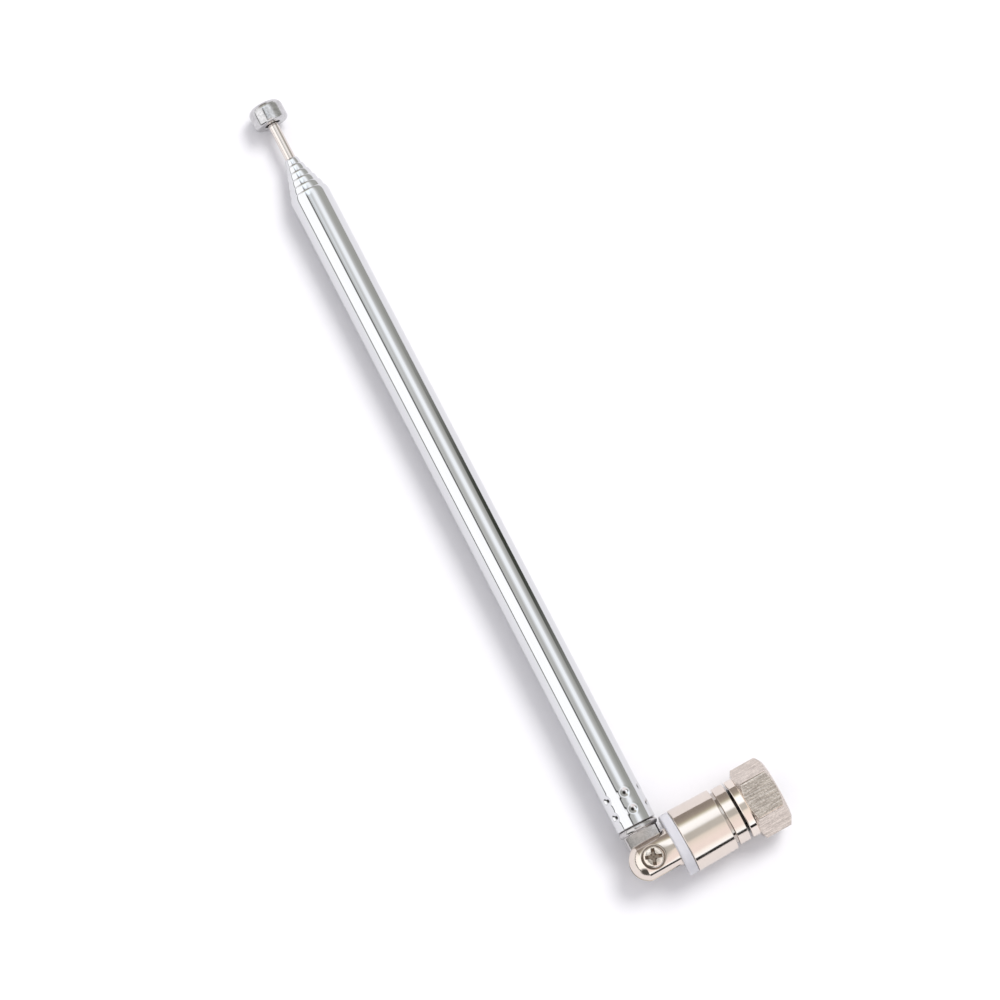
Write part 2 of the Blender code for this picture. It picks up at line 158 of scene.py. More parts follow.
def turned(name, corners, place, finish=(None, None), closed=False, sides=SIDES,
           start=0.0, sweep=math.tau, relief=None, ready=False):
    """Turn an outline round the local Z axis. relief(along, angle, radius) gives a new radius."""
    outline = [Vector(c) for c in corners] if ready else rounded(corners, closed)
    whole = abs(sweep - math.tau) < 1e-9
    columns = sides if whole else sides + 1
    vertices = []
    for along, radius in outline:
        for i in range(columns):
            angle = start + sweep * i / sides
            out = relief(along, angle, radius) if relief else radius
            vertices.append((out * math.cos(angle), out * math.sin(angle), along))
    rows = len(outline)
    faces = []
    for row in range(rows if closed else rows - 1):
        base, upper = row * columns, (row + 1) % rows * columns
        for i in range(columns if whole else columns - 1):
            j = (i + 1) % columns
            faces.append((base + i, base + j, upper + j, upper + i))
    if not closed:
        faces.append(tuple(range(columns))[::-1])
        faces.append(tuple((rows - 1) * columns + i for i in range(columns)))
    if not whole:
        faces.append(tuple(row * columns for row in range(rows)))
        faces.append(tuple(row * columns + columns - 1 for row in range(rows))[::-1])
    return new_piece(name, vertices, faces, place, *finish)


def extruded(name, outline, low, high, place, taper=1.0):
    """A cutter: an outline of (x, y) points between two heights, narrowed at the low end."""
    count = len(outline)
    vertices = [(x * taper, y * taper, low) for x, y in outline]
    vertices += [(x, y, high) for x, y in outline]
    faces = [tuple(range(count))[::-1], tuple(range(count, 2 * count))]
    faces += [(i, (i + 1) % count, (i + 1) % count + count, i + count) for i in range(count)]
    return new_piece(name, vertices, faces, place, None, None)


def block(name, low, high, place):
    """A cutter: a box between two corners."""
    outline = ((low[0], low[1]), (high[0], low[1]), (high[0], high[1]), (low[0], high[1]))
    return extruded(name, outline, low[2], high[2], place)


def carve(piece, cutters, edge=0.0):
    """Cut with each (object, operation), round the sharp edges, and keep the resulting mesh."""
    for cutter, operation in cutters:
        modifier = piece.modifiers.new(cutter.name, "BOOLEAN")
        modifier.operation = operation
        modifier.solver = "EXACT"
        modifier.object = cutter
    if edge:
        bevel = piece.modifiers.new("edges", "BEVEL")
        bevel.width = edge
        bevel.segments = 3
        bevel.limit_method = "ANGLE"
        bevel.angle_limit = BEVEL_ANGLE
        bevel.use_clamp_overlap = True
        bevel.miter_outer = "MITER_ARC"
    bpy.context.view_layer.update()
    result = piece.evaluated_get(bpy.context.evaluated_depsgraph_get())
    mesh = bpy.data.meshes.new_from_object(result)
    mesh.shade_smooth()
    mesh.set_sharp_from_angle(angle=SHARP_ANGLE)
    piece.modifiers.clear()
    piece.data = mesh
    for cutter, _ in cutters:
        bpy.data.objects.remove(cutter)


def place_on(piece, body, *nodes):
    """Hand the piece over to its body, in place of its CAD nodes."""
    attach(piece, body)
    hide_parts(*nodes)


# --- Shader graphs ------------------------------------------------------------------------
class Graph:
    """Short calls for making and joining shader nodes."""

    def __init__(self, owner):
        owner.use_nodes = True
        self.tree = owner.node_tree
        self.tree.nodes.clear()

    def add(self, kind, inputs=None, **settings):
        made = self.tree.nodes.new("ShaderNode" + kind)
        for key, value in settings.items():
            setattr(made, key, value)
        for key, value in (inputs or {}).items():
            if isinstance(value, bpy.types.NodeSocket):
                self.tree.links.new(value, made.inputs[key])
            else:
                made.inputs[key].default_value = value
        return made

    def math(self, operation, first, second=0.0, clamp=False):
        made = self.add("Math", {0: first, 1: second}, operation=operation, use_clamp=clamp)
        return made.outputs[0]

    def remap(self, value, low, high, from_low=0.3, from_high=0.7):
        """Spread a value from one range over another."""
        made = self.add("MapRange", {"Value": value, "From Min": from_low, "From Max": from_high,
                                     "To Min": low, "To Max": high})
        return made.outputs["Result"]

    def noise(self, stretch, detail=3.0, roughness=0.55, offset=0.0):
        """Noise of so many features per metre along each local axis."""
        coordinates = self.add("TexCoord").outputs["Object"]
        scaled = self.add("VectorMath", {0: coordinates, 1: stretch}, operation="MULTIPLY")
        moved = self.add("VectorMath", {0: scaled.outputs[0], 1: (offset, offset, offset)},
                         operation="ADD")
        made = self.add("TexNoise", {"Vector": moved.outputs[0], "Scale": 1.0, "Detail": detail,
                                     "Roughness": roughness})
        return made.outputs["Fac"]

    def local(self):
        """Distances along the piece's own axes."""
        return self.add("SeparateXYZ", {0: self.add("TexCoord").outputs["Object"]}).outputs

    def mix(self, factor, first, second):
        """Colour that goes from the first to the second as the factor rises."""
        inputs = {"Factor": factor, 6: first, 7: second}
        return self.add("Mix", inputs, data_type="RGBA").outputs[2]

    def length(self, first, second):
        """Length of a flat vector."""
        squares = self.math("ADD", self.math("MULTIPLY", first, first),
                            self.math("MULTIPLY", second, second))
        return self.math("SQRT", squares)

    def ramp(self, value, stops):
        """A colour ramp of (place, colour) stops."""
        made = self.add("ValToRGB", {"Fac": value})
        elements = made.color_ramp.elements
        while len(elements) < len(stops):
            elements.new(0.5)
        for element, (position, colour) in zip(elements, stops):
            element.position = position
            element.color = (*colour, 1.0)
        return made.outputs["Color"]

    def tint(self, value, dark, light):
        return self.ramp(value, [(0.0, dark), (1.0, light)])

    def bump(self, heights):
        """Bumps of (height, depth in metres) laid over each other."""
        normal = None
        for height, depth in heights:
            inputs = {"Height": height, "Distance": depth, "Strength": 1.0}
            if normal:
                inputs["Normal"] = normal
            normal = self.add("Bump", inputs).outputs["Normal"]
        return normal


def surface(name, constants, build):
    """A Principled material; build(graph) gives the sockets that vary over the surface."""
    material = bpy.data.materials.new(name)
    graph = Graph(material)
    inputs = dict(constants)
    inputs.update(build(graph))
    shader = graph.add("BsdfPrincipled", inputs)
    output = graph.add("OutputMaterial")
    graph.tree.links.new(shader.outputs["BSDF"], output.inputs["Surface"])
    return material


# Near-black painted shade for hollows, bores and gaps.
RECESS_SHADE = (0.022, 0.019, 0.016, 1.0)
# Brownish painted shade for the screw's cross and the gap round its head.
SCREW_RECESS_SHADE = (0.24, 0.185, 0.145, 1.0)
BRIGHT_NECK = (0.78, 0.70, 0.63, 1.0)

# The outer tube's crimp: two rows of dents, as heights above its foot.
OUTER_TUBE_R = 3.5 * MM
OUTER_TUBE_FOOT = 6.15 * MM
DENT_ROWS = (2.4 * MM, 5.45 * MM)
DENT_SPACING = math.tau / 6
DENT_FIRST = math.radians(10)


def scaled(colour, factor):
    """The colour made lighter or darker."""
    return tuple(min(1.0, channel * factor) for channel in colour)


def metal(name, colour, roughness, grain, grain_depth, mottle=(400, 400, 400), shade=0.9,
          ripple=None, recess=None, painted_shade_colour=RECESS_SHADE):
    """Metal whose fine grain and soft mottling change its colour, gloss and relief.

    recess(graph) is 1 where the metal is open and 0 where painted shade darkens it, in hollows and
    gaps.
    """
    def build(graph):
        lines = graph.noise(grain, detail=4.0)
        patches = graph.noise(mottle, detail=5.0, offset=7.3)
        mixed = graph.math("ADD", graph.math("MULTIPLY", lines, 0.55),
                           graph.math("MULTIPLY", patches, 0.45))
        heights = [(lines, grain_depth)]
        if ripple:
            heights.append((graph.noise(ripple[0], detail=1.5, offset=3.1), ripple[1]))
        base = graph.tint(graph.remap(mixed, 0.0, 1.0), scaled(colour, shade), colour)
        if recess:
            # Painted shade: where the recess mask falls to 0, the colour goes to the dark shade
            # colour.
            base = graph.mix(recess(graph), painted_shade_colour, base)
        return {
            "Base Color": base,
            "Roughness": graph.remap(patches, *roughness),
            "Normal": graph.bump(heights),
        }
    return surface(name, {"Metallic": 1.0}, build)


def chrome(name="mast_chrome", recess=None):
    """Polished plating on drawn tube: faint lines along the tube and a few dull smears."""
    return metal(name, (0.70, 0.705, 0.715), (0.035, 0.085), (7000, 7000, 90), 0.25e-6,
                 mottle=(260, 260, 60), shade=0.94, ripple=((420, 420, 60), 1.6e-6),
                 recess=recess)


def warm_chrome():
    """Thin drawn rod, plated a little warmer than the tubes round it."""
    return metal("rod_plate", (0.76, 0.70, 0.66), (0.05, 0.11), (9000, 9000, 120), 0.4e-6,
                 mottle=(500, 500, 90), shade=0.93, ripple=((700, 700, 120), 1.6e-6))


def worn_chrome():
    """Chrome handled often: the gloss is uneven."""
    return metal("worn_chrome", (0.68, 0.675, 0.68), (0.09, 0.22), (2600, 2600, 2600), 0.8e-6,
                 mottle=(1100, 1100, 1100), shade=0.62, ripple=((900, 900, 900), 12e-6))


def tongue_chrome():
    """Duller plating on the milled tongue, with the cutter's lines across it."""
    return metal("tongue_chrome", (0.60, 0.58, 0.575), (0.10, 0.20), (900, 5200, 5200), 2.5e-6,
                 mottle=(1800, 1800, 1800), shade=0.70, ripple=((800, 800, 800), 3e-6))


def dented_chrome():
    """The mast's plating with painted shade in the middle of the crimp's dents."""
    def recess(graph):
        x, y, z = graph.local()
        turn = graph.math("DIVIDE", graph.math("SUBTRACT", graph.math("ARCTAN2", y, x),
                                               DENT_FIRST), DENT_SPACING)
        across = graph.math("MULTIPLY", graph.math("PINGPONG", turn, 0.5),
                            DENT_SPACING * OUTER_TUBE_R)
        rows = [graph.math("ABSOLUTE", graph.math("SUBTRACT", z, OUTER_TUBE_FOOT + row))
                for row in DENT_ROWS]
        away = graph.length(across, graph.math("MINIMUM", *rows))
        # Painted shade: near-black within 0.2 mm of a dent's middle, gone by 0.42 mm.
        return graph.remap(away, 0.0, 1.0, 0.20 * MM, 0.42 * MM)
    return chrome("dented_chrome", recess)


def nickel(name="nickel_plate", recess=None):
    """Warm bright nickel over turned brass: fine rings round the axis."""
    return metal(name, (0.75, 0.673, 0.607), (0.075, 0.14), (900, 900, 26000), 0.5e-6,
                 mottle=(350, 350, 500), shade=0.93, ripple=((300, 300, 900), 1.2e-6),
                 recess=recess)


def shell_nickel():
    """Nickel with painted shade in the groove and in the gap behind the nut."""
    def recess(graph):
        x, y, _ = graph.local()
        # Painted shade: dark inside a radius of 4.25 mm, fading out by 4.95 mm.
        return graph.remap(graph.length(x, y), 0.0, 1.0, 4.25 * MM, 4.95 * MM)
    return nickel("shell_nickel", recess)


def satin_nickel():
    """Nickel over bar stock, with drawing marks along the flats, a bright neck and painted shade
    in the bore.
    """
    def build(graph):
        lines = graph.noise((3400, 3400, 420), detail=3.0, roughness=0.65)
        scores = graph.noise((2000, 2000, 120), detail=2.0, offset=11.0)
        pits = graph.noise((3000, 3000, 3000), detail=3.0, offset=5.0)
        mixed = graph.math("ADD", graph.math("MULTIPLY", lines, 0.6),
                           graph.math("MULTIPLY", pits, 0.4))
        base = graph.tint(graph.remap(mixed, 0.0, 1.0, 0.40, 0.62), (0.44, 0.385, 0.34),
                          (0.76, 0.68, 0.61))
        x, y, _ = graph.local()
        out = graph.length(x, y)
        milled = graph.remap(out, 0.0, 1.0, 5.25 * MM, 5.45 * MM)
        base = graph.mix(milled, BRIGHT_NECK, base)
        gloss = graph.remap(milled, 0.45, 1.0, 0.0, 1.0)
        # Painted shade: the bore and inner faces go dark inside a radius of 4.3 mm, fading out by
        # 5.0 mm.
        open_face = graph.remap(out, 0.0, 1.0, 4.3 * MM, 5.0 * MM)
        return {
            "Base Color": graph.mix(open_face, RECESS_SHADE, base),
            "Roughness": graph.math("MULTIPLY", graph.remap(lines, 0.09, 0.17), gloss),
            "Normal": graph.bump([(graph.math("MULTIPLY", height, milled), depth)
                                  for height, depth in
                                  ((scores, 40e-6), (lines, 45e-6), (pits, 40e-6))]),
        }
    return surface("satin_nickel", {"Metallic": 1.0}, build)


def screw_steel():
    """Plated steel, with brownish painted shade in the cross and round the head, darker the lower
    it lies.
    """
    def recess(graph):
        height = graph.local()[2]
        # Painted shade: full below a height of 2.2 mm, gone above 3.05 mm.
        return graph.remap(height, 0.0, 1.0, 2.2 * MM, 3.05 * MM)
    return metal("screw_steel", (0.84, 0.76, 0.68), (0.10, 0.24), (5000, 5000, 5000), 0.9e-6,
                 mottle=(1500, 1500, 1500), shade=0.70, ripple=((900, 900, 900), 6e-6),
                 recess=recess, painted_shade_colour=SCREW_RECESS_SHADE)


def spring_steel():
    """Plain drawn wire and strip."""
    return metal("spring_steel", (0.58, 0.58, 0.60), (0.22, 0.36), (9000, 9000, 9000), 0.5e-6,
                 shade=0.8)


def bare_brass():
    """Turned brass, with fine rings round the axis."""
    return metal("bare_brass", (0.83, 0.61, 0.28), (0.20, 0.34), (700, 700, 22000), 0.8e-6,
                 shade=0.82)


def bronze():
    """Rolled strip for the springy sleeves."""
    return metal("bronze", (0.72, 0.43, 0.24), (0.24, 0.38), (800, 800, 15000), 0.8e-6,
                 shade=0.78)


def white_plastic():
    """Moulded nylon: milky, a little cool, with a fine moulded texture."""
    def build(graph):
        grain = graph.noise((5200, 5200, 5200), detail=3.0)
        cloud = graph.noise((300, 300, 300), detail=3.0, offset=2.0)
        return {
            "Base Color": graph.tint(graph.remap(cloud, 0.0, 1.0), (0.545, 0.54, 0.57),
                                     (0.62, 0.615, 0.645)),
            "Roughness": graph.remap(grain, 0.30, 0.48),
            "Normal": graph.bump([(grain, 2.5e-6), (cloud, 8e-6)]),
        }
    constants = {"Subsurface Weight": 0.5, "Subsurface Scale": 0.0012,
                 "Subsurface Radius": (1.0, 0.95, 0.9), "IOR": 1.5}
    return surface("white_plastic", constants, build)


def paper():
    """Matt white ground."""
    def build(graph):
        fibre = graph.noise((900, 900, 900), detail=4.0)
        return {
            "Base Color": graph.tint(fibre, (0.855, 0.85, 0.87), (0.875, 0.87, 0.885)),
            "Roughness": graph.remap(fibre, 0.75, 0.9),
            "Normal": graph.bump([(fibre, 4e-6)]),
        }
    return surface("ground", {"Specular IOR Level": 0.15}, build)


# Each finish is a material and the name of its slot.
CHROME = (chrome(), "mast_chrome")
WORN_CHROME = (worn_chrome(), "mast_chrome")
TONGUE_CHROME = (tongue_chrome(), "mast_chrome")
DENTED_CHROME = (dented_chrome(), "mast_chrome")
SHELL_NICKEL = (shell_nickel(), "nickel_plate")
WARM_CHROME = (warm_chrome(), "mast_chrome")
NICKEL = (nickel(), "nickel_plate")
SATIN = (satin_nickel(), "satin_nickel")
SCREW_STEEL = (screw_steel(), "screw_steel")
SPRING = (spring_steel(), "spring_steel")
BRASS = (bare_brass(), "bare_brass")
BRONZE = (bronze(), "bronze")
PLASTIC = (white_plastic(), "white_plastic")


# --- Plug ---------------------------------------------------------------------------------
SHELL_RING_R = 5.2 * MM
SPIGOT_R = 3.85 * MM
SPIGOT_BORE_R = 3.0 * MM
SHELL_BORE_R = 4.4 * MM
SHELL_BORE_END = -5.7 * MM
# Back, front and floor radius of the snap ring's groove.
SNAP_GROOVE = (-1.15 * MM, -0.7 * MM, 3.45 * MM)


def plug_shell():
    """Turned body with a groove near its front, and the spigot that carries the nut."""
    back, _, back_r = reach("plug_shell", PLUG)
    groove_back, groove_front, groove_r = -5.2 * MM, -4.65 * MM, 4.7 * MM
    front, front_r = -2.68 * MM, 5.48 * MM
    snap_back, snap_front, snap_r = SNAP_GROOVE
    fine = 0.03 * MM
    corners = [
        (back, SHELL_BORE_R, fine),
        (back, back_r, 0.16 * MM),
        (groove_back, front_r, 0.10 * MM),
        (groove_back, groove_r, 0.08 * MM),
        (groove_front, groove_r, 0.08 * MM),
        (groove_front, SHELL_RING_R, 0.10 * MM),
        (front, SHELL_RING_R, 0.10 * MM),
        (front, SPIGOT_R, fine),
        (snap_back, SPIGOT_R, fine),
        (snap_back, snap_r, fine),
        (snap_front, snap_r, fine),
        (snap_front, SPIGOT_R, fine),
        (0.0, SPIGOT_R, 0.12 * MM),
        (0.0, SPIGOT_BORE_R, 0.05 * MM),
        (SHELL_BORE_END, SPIGOT_BORE_R, fine),
        (SHELL_BORE_END, SHELL_BORE_R, fine),
    ]
    piece = turned("shell", corners, PLUG, SHELL_NICKEL, closed=True, sides=192)
    place_on(piece, "plug", "plug_shell")


def insulator_collar():
    """White bush between the elbow and the shell."""
    back, end, _ = reach("insulator_collar", PLUG)
    front = -12.7 * MM
    collar_r = 5.53 * MM
    mouth_r = FORK_R + 0.12 * MM
    mouth_end = PIVOT.x + 4.65 * MM
    spigot_r = SHELL_BORE_R - 0.07 * MM
    bore_r = 2.52 * MM
    fine = 0.05 * MM
    corners = [
        (back, mouth_r, 0.10 * MM),
        (back, collar_r, 0.32 * MM),
        (front, collar_r, 0.18 * MM),
        (front, spigot_r, fine),
        (end, spigot_r, fine),
        (end, bore_r, fine),
        (mouth_end, bore_r, fine),
        (mouth_end, mouth_r, fine),
    ]
    piece = turned("collar", corners, PLUG, PLASTIC, closed=True, sides=160)
    place_on(piece, "plug", "insulator_collar")


def pin_insulator():
    """Bead in the spigot that centres the pin, with a dished face."""
    back, front, flange_r = reach("pin_insulator", PLUG)
    shoulder = SHELL_BORE_END - 0.05 * MM
    body_r = SPIGOT_BORE_R - 0.05 * MM
    bore_r = 0.55 * MM
    dish_r = 1.5 * MM
    corners = [
        (back, bore_r, 0.05 * MM),
        (back, flange_r, 0.05 * MM),
        (shoulder, flange_r, 0.05 * MM),
        (shoulder, body_r),
        (front, body_r, 0.12 * MM),
        (front, dish_r, 0.05 * MM),
        (front - 0.25 * MM, dish_r - 0.1 * MM, 0.05 * MM),
        (front - 0.25 * MM, bore_r, 0.05 * MM),
    ]
    piece = turned("dielectric", corners, PLUG, PLASTIC, closed=True, sides=96)
    place_on(piece, "plug", "pin_insulator")


def centre_pin():
    """Contact pin with a head behind the bead and a blunt tip."""
    back, tip, head_r = reach("centre_pin", PLUG)
    pin_r = 0.5 * MM
    head_front = back + 0.6 * MM
    corners = [
        (back, head_r, 0.0),
        (back + 0.1 * MM, head_r, 0.05 * MM),
        (head_front, head_r, 0.08 * MM),
        (head_front, pin_r, 0.08 * MM),
        (tip - 0.35 * MM, pin_r, 0.15 * MM),
        (tip - 0.06 * MM, pin_r * 0.55, 0.06 * MM),
        (tip, pin_r * 0.2),
    ]
    piece = turned("pin", corners, PLUG, BRASS, sides=64)
    place_on(piece, "plug", "centre_pin")


def contact_spring():
    """Coil of round wire between the elbow's stem and the pin."""
    wire_r, coil_r, turns, wire_sides = 0.13 * MM, 0.9 * MM, 2.5, 16
    low, high, _ = reach("contact_spring", PLUG)
    start, end = low + wire_r, high - wire_r
    steps = int(turns * 48)
    rise = (end - start) / (math.tau * turns)
    axis = Vector((0.0, 0.0, 1.0))
    vertices = []
    for i in range(steps + 1):
        angle = math.tau * turns * i / steps
        out = Vector((math.cos(angle), math.sin(angle), 0.0))
        run = Vector((-math.sin(angle), math.cos(angle), 0.0)) * coil_r + axis * rise
        across = run.normalized().cross(out)
        centre = out * coil_r + axis * (start + rise * angle)
        for k in range(wire_sides):
            turn = math.tau * k / wire_sides
            vertices.append(centre + (out * math.cos(turn) + across * math.sin(turn)) * wire_r)
    faces = [tuple(range(wire_sides))[::-1],
             tuple(steps * wire_sides + k for k in range(wire_sides))]
    for i in range(steps):
        for k in range(wire_sides):
            here, after = i * wire_sides, (i + 1) * wire_sides
            following = (k + 1) % wire_sides
            faces.append((here + k, here + following, after + following, after + k))
    piece = new_piece("pin_spring", vertices, faces, PLUG, *SPRING)
    place_on(piece, "plug", "contact_spring")


def split_ring(name, node, body, place, inner_r, finish, gap):
    """A ring of rounded section with a gap of some of its turn."""
    fine = 0.03 * MM
    low, high, outer_r = reach(node, place)
    corners = [(low, inner_r, fine), (high, inner_r, fine), (high, outer_r, fine),
               (low, outer_r, fine)]
    piece = turned(name, corners, place, finish, closed=True, sides=120,
                   start=gap, sweep=math.tau - gap)
    place_on(piece, body, node)


# --- Coupling nut -------------------------------------------------------------------------
HEX_FLAT = 5.55 * MM
HEX_CORNER_R = 6.56 * MM
HEX_BACK = -0.95 * MM
NECK_R = 5.2 * MM
NUT_FRONT_R = 5.15 * MM
NUT_CHAMFER = math.tan(math.radians(32))
THREAD_PITCH = 25.4 / 32 * MM
THREAD_MINOR_R = 4.33 * MM
THREAD_DEPTH = 0.43 * MM
# How far the thread's flanks reach past its flat crests and roots, and its run-in and run-out in
# turns.
THREAD_CREST, THREAD_ROOT = 1.12, 0.06
THREAD_IN, THREAD_OUT = 0.5, 0.3
HEX_SOFTNESS = 0.24 * MM


def soft_min(first, second, width):
    """The smaller of two values, with the corner between them rounded."""
    closeness = max(width - abs(first - second), 0.0)
    return min(first, second) - closeness * closeness / (4.0 * width)


def hexagon_radius(angle):
    """Distance to a hexagon of flats, two of them square to local X, with softened corners."""
    sixth = math.tau / 6
    turn = (angle + sixth / 2) % sixth - sixth / 2
    near = HEX_FLAT / math.cos(turn)
    other = HEX_FLAT / math.cos(sixth - abs(turn))
    return soft_min(near, other, HEX_SOFTNESS)


def thread_radius(along, angle, start, end):
    """Right-hand thread with flattened crests, fading out over its first and last turn."""
    turn = (along / THREAD_PITCH + angle / math.tau) % 1.0
    flank = THREAD_CREST * (1.0 - abs(2.0 * turn - 1.0)) - THREAD_ROOT
    depth = min(1.0, max(0.0, flank))
    fade = min(1.0, max(0.0, (along - start) / (THREAD_IN * THREAD_PITCH)))
    fade = min(fade, max(0.0, (end - along) / (THREAD_OUT * THREAD_PITCH)))
    return THREAD_MINOR_R + THREAD_DEPTH * depth * fade


def coupling_nut():
    """Hexagon nut on a round neck: an inner lip, a thread, and both ends of the flats turned."""
    back, front, _ = reach("coupling_nut", PLUG)
    lip_r, lip_end = 3.97 * MM, -1.4 * MM
    thread_start, thread_end = lip_end + 0.1 * MM, front - 0.4 * MM
    step = 0.035 * MM
    neck = rounded([(back, lip_r), (back, NECK_R, 0.22 * MM), (HEX_BACK, NECK_R)], False)
    body_rows = int((front - HEX_BACK) / step)
    bore_rows = int((thread_end - thread_start) / (THREAD_PITCH / 16))
    outline = [(point.x, point.y) for point in neck]
    outline += [(HEX_BACK + (front - HEX_BACK) * i / body_rows, HEX_CORNER_R)
                for i in range(1, body_rows + 1)]
    outline += [(front, NUT_FRONT_R - 0.03 * MM),
                (front, THREAD_MINOR_R + THREAD_DEPTH + SUPPORT)]
    outline += [(thread_end + (thread_start - thread_end) * i / bore_rows, THREAD_MINOR_R)
                for i in range(bore_rows + 1)]
    outline += [(lip_end, THREAD_MINOR_R), (lip_end, lip_r)]

    def relief(along, angle, radius):
        if abs(radius - HEX_CORNER_R) < SUPPORT / 10:
            back_cone = NECK_R + (along - HEX_BACK) / NUT_CHAMFER
            front_cone = NUT_FRONT_R + (front - along) / NUT_CHAMFER
            cone = soft_min(back_cone, front_cone, 0.1 * MM)
            return soft_min(hexagon_radius(angle), min(cone, HEX_CORNER_R), 0.07 * MM)
        if abs(radius - THREAD_MINOR_R) < SUPPORT / 10 and along > thread_start:
            return thread_radius(along, angle, thread_start, thread_end + SUPPORT)
        return radius

    piece = turned("nut", outline, PLUG, SATIN, closed=True, sides=FINE_SIDES, relief=relief,
                   ready=True)
    place_on(piece, "coupling_nut", "coupling_nut")


# --- Elbow --------------------------------------------------------------------------------
FORK_R = 3.45 * MM
# Place of the centre of the nose's dome, and its radius.
FORK_NOSE = (-0.82 * MM, 3.63 * MM)
SLOT_HALF = 1.45 * MM
SCREW_HOLE_R = 1.1 * MM
SCREW_SEAT = 2.0 * MM
SCREW_SEAT_R = 2.15 * MM
# The cross in the screw's head: its turn, and the reach and half width of its arms.
CROSS_TURN = math.radians(-20)
CROSS_ARM, CROSS_HALF = 1.72 * MM, 0.38 * MM
# Further than any cutter has to go.
WIDE = 20.0 * MM


def elbow_fork():
    """Round bar with a domed nose and a slot, and the stem that turns in the collar."""
    _, front, _ = reach("elbow_fork", ELBOW)
    shoulder, stem_r = 4.55 * MM, 2.4 * MM
    groove_back, groove_front, groove_r = 8.75 * MM, 9.15 * MM, 2.0 * MM
    nose_centre, nose_r = FORK_NOSE
    widest = math.asin(FORK_R / nose_r)
    steps, first = 24, 0.04
    nose = []
    for i in range(steps + 1):
        angle = widest * (first + (1.0 - first) * i / steps)
        nose.append((nose_centre - nose_r * math.cos(angle), nose_r * math.sin(angle)))
    corners = nose + [
        (shoulder, FORK_R, 0.08 * MM),
        (shoulder, stem_r, 0.04 * MM),
        (groove_back, stem_r, 0.03 * MM),
        (groove_back, groove_r, 0.03 * MM),
        (groove_front, groove_r, 0.03 * MM),
        (groove_front, stem_r, 0.03 * MM),
        (front, stem_r, 0.25 * MM),
        (front, stem_r * 0.5),
    ]
    piece = turned("fork", corners, ELBOW, NICKEL, sides=144)
    slot = block("slot_cutter", (-SLOT_HALF, -WIDE, -WIDE), (SLOT_HALF, WIDE, 3.45 * MM), ELBOW)
    seat = turned("seat_cutter", [(SCREW_SEAT, SCREW_SEAT_R), (WIDE, SCREW_SEAT_R)], SCREW,
                  sides=96)
    hole = turned("hole_cutter", [(-WIDE, SCREW_HOLE_R), (WIDE, SCREW_HOLE_R)], SCREW, sides=64)
    carve(piece, [(cutter, "DIFFERENCE") for cutter in (slot, seat, hole)], edge=0.06 * MM)
    place_on(piece, "elbow", "elbow_fork")


def cross_outline(arm, half):
    """Outline of a plus sign, as (x, y) points."""
    quarter = [(arm, -half), (arm, half), (half, half)]
    outline = []
    for turn in range(4):
        for x, y in quarter:
            for _ in range(turn):
                x, y = -y, x
            outline.append((x, y))
    return outline


def pivot_screw():
    """Pan head screw with a cross recess, through both cheeks of the fork."""
    low, top, head_r = reach("pivot_screw", SCREW)
    thread_r, head_base = 1.0 * MM, SCREW_SEAT + 0.05 * MM
    head_side = head_base + 0.72 * MM
    crown = 10
    corners = [
        (low, thread_r - 0.3 * MM, 0.0),
        (low + 0.3 * MM, thread_r, 0.1 * MM),
        (head_base, thread_r, 0.05 * MM),
        (head_base, head_r, 0.08 * MM),
    ]
    for i in range(crown + 1):
        angle = math.pi / 2 * i / crown
        corners.append((head_side + (top - head_side) * math.sin(angle) ** 0.8,
                        head_r * math.cos(angle) ** 0.55 if i < crown else 0.12 * head_r))
    piece = turned("screw", corners, SCREW, SCREW_STEEL, sides=120)
    turn = SCREW @ Matrix.Rotation(CROSS_TURN, 4, "Z")
    recess = extruded("cross_cutter", cross_outline(CROSS_ARM, CROSS_HALF), top - 1.0 * MM,
                      top + 0.35 * MM, turn, taper=0.5)
    cone = turned("cone_cutter", [(top - 1.1 * MM, 0.12 * MM), (top + 0.3 * MM, 0.80 * MM)],
                  turn, sides=24)
    carve(piece, [(recess, "DIFFERENCE"), (cone, "DIFFERENCE")], edge=0.035 * MM)
    place_on(piece, "elbow", "pivot_screw")


def swivel_washer():
    """Wave washer that presses the elbow back against the collar."""
    low, high, outer_r = reach("swivel_washer", ELBOW)
    thickness, inner_r = 0.15 * MM, 2.52 * MM
    middle, wave = (low + high) / 2, (high - low - thickness) / 2
    corners = [(-thickness / 2, inner_r), (thickness / 2, inner_r),
               (thickness / 2, outer_r), (-thickness / 2, outer_r)]
    columns = 120
    vertices = []
    for along, radius in corners:
        for i in range(columns):
            angle = math.tau * i / columns
            vertices.append((radius * math.cos(angle), radius * math.sin(angle),
                             middle + along + wave * math.cos(3 * angle)))
    faces = []
    for row in range(4):
        base, upper = row * columns, (row + 1) % 4 * columns
        faces += [(base + i, base + (i + 1) % columns, upper + (i + 1) % columns, upper + i)
                  for i in range(columns)]
    piece = new_piece("wave_washer", vertices, faces, ELBOW, *SPRING)
    place_on(piece, "elbow", "swivel_washer")


# --- Mast ---------------------------------------------------------------------------------
TUBE_WALL = 0.22 * MM
SECTION_STEP = 0.435 * MM
MOUTH_DOME = 1.2 * MM
DENT_R = 0.85 * MM
DENT_DEPTH = 0.42 * MM
DENT_POINT = 0.55
# The metal pushed up round a dent: its height, and its place and width in dent radii.
RIM_HEIGHT = 0.018 * MM
RIM_AWAY, RIM_WIDTH, RIM_END = 1.12, 0.22, 1.6
CRIMP_LENGTH = 7.4 * MM


